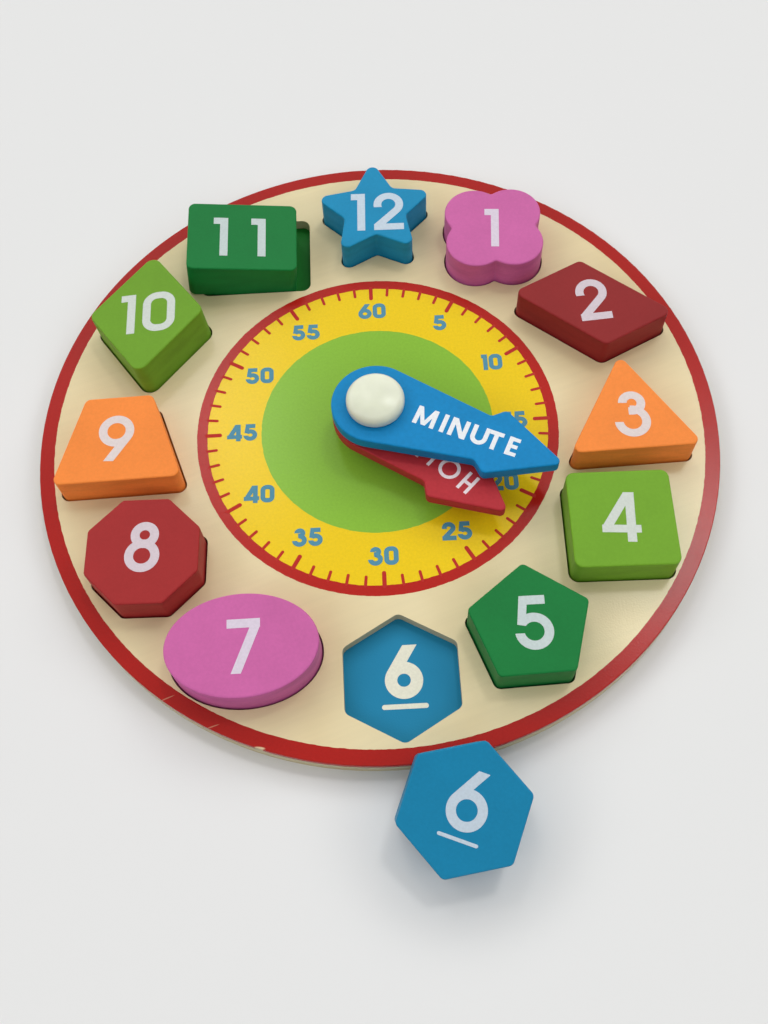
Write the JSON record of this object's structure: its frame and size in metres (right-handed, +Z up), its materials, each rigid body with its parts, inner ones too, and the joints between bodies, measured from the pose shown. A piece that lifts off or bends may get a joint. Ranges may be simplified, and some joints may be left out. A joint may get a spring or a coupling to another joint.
{
  "type": "shape sorting clock",
  "caption": "Round wooden toy clock with turning hands and lift-out painted number blocks in shaped recesses, for learning shapes, colours and telling the time.",
  "frame": {"origin": "centre of the dial on the flat underside of the board", "axes": "+Z up out of the face, +Y to 12 o'clock, +X to 3 o'clock"},
  "size_m": [0.235, 0.269, 0.0289],
  "materials": {
    "base_wood": "satin clear coat",
    "face_wood": "satin clear coat, printed dial",
    "hub_wood": "bare",
    "paint_pink": "satin paint, printed number",
    "paint_crimson": "satin paint, printed number",
    "paint_orange": "satin paint, printed number",
    "paint_leaf_green": "satin paint, printed number",
    "paint_dark_green": "satin paint, printed number",
    "paint_blue": "satin paint, printed number",
    "hand_red": "gloss lacquer, printed word",
    "hand_blue": "gloss lacquer, printed word",
    "knob_white": "gloss paint",
    "washer_nylon": "satin"
  },
  "bodies": {
    "board": {"base_board": "base_wood", "face_board": "face_wood", "hub_spacer": "hub_wood", "hand_washer": "washer_nylon", "hub_peg": "knob_white"},
    "hour_hand": {"hour_hand": "hand_red"},
    "minute_hand": {"minute_hand": "hand_blue"},
    "block_01": {"block_01_quatrefoil": "paint_pink"},
    "block_02": {"block_02_parallelogram": "paint_crimson"},
    "block_03": {"block_03_triangle": "paint_orange"},
    "block_04": {"block_04_square": "paint_leaf_green"},
    "block_05": {"block_05_pentagon": "paint_dark_green"},
    "block_06": {"block_06_hexagon": "paint_blue"},
    "block_07": {"block_07_oval": "paint_pink"},
    "block_08": {"block_08_octagon": "paint_crimson"},
    "block_09": {"block_09_trapezoid": "paint_orange"},
    "block_10": {"block_10_rhombus": "paint_leaf_green"},
    "block_11": {"block_11_rectangle": "paint_dark_green"},
    "block_12": {"block_12_star": "paint_blue"}
  },
  "joints": [
    {"name": "hour_hand_turn", "type": "hinge", "parent": "board", "child": "hour_hand", "pos_m": [0, 0, 0.0153], "axis": [0, 0, -1], "continuous": true},
    {"name": "minute_hand_turn", "type": "hinge", "parent": "board", "child": "minute_hand", "pos_m": [0, 0, 0.021], "axis": [0, 0, -1], "continuous": true},
    {"name": "block_01_lift", "type": "slide", "parent": "board", "child": "block_01", "axis": [0, 0, 1], "range_m": [0, 0.04]},
    {"name": "block_02_lift", "type": "slide", "parent": "board", "child": "block_02", "axis": [0, 0, 1], "range_m": [0, 0.04]},
    {"name": "block_03_lift", "type": "slide", "parent": "board", "child": "block_03", "axis": [0, 0, 1], "range_m": [0, 0.04]},
    {"name": "block_04_lift", "type": "slide", "parent": "board", "child": "block_04", "axis": [0, 0, 1], "range_m": [0, 0.04]},
    {"name": "block_05_lift", "type": "slide", "parent": "board", "child": "block_05", "axis": [0, 0, 1], "range_m": [0, 0.04]},
    {"name": "block_06_lift", "type": "slide", "parent": "board", "child": "block_06", "axis": [0, 0, 1], "range_m": [0, 0.04]},
    {"name": "block_07_lift", "type": "slide", "parent": "board", "child": "block_07", "axis": [0, 0, 1], "range_m": [0, 0.04]},
    {"name": "block_08_lift", "type": "slide", "parent": "board", "child": "block_08", "axis": [0, 0, 1], "range_m": [0, 0.04]},
    {"name": "block_09_lift", "type": "slide", "parent": "board", "child": "block_09", "axis": [0, 0, 1], "range_m": [0, 0.04]},
    {"name": "block_10_lift", "type": "slide", "parent": "board", "child": "block_10", "axis": [0, 0, 1], "range_m": [0, 0.04]},
    {"name": "block_11_lift", "type": "slide", "parent": "board", "child": "block_11", "axis": [0, 0, 1], "range_m": [0, 0.04]},
    {"name": "block_12_lift", "type": "slide", "parent": "board", "child": "block_12", "axis": [0, 0, 1], "range_m": [0, 0.04]}
  ]
}
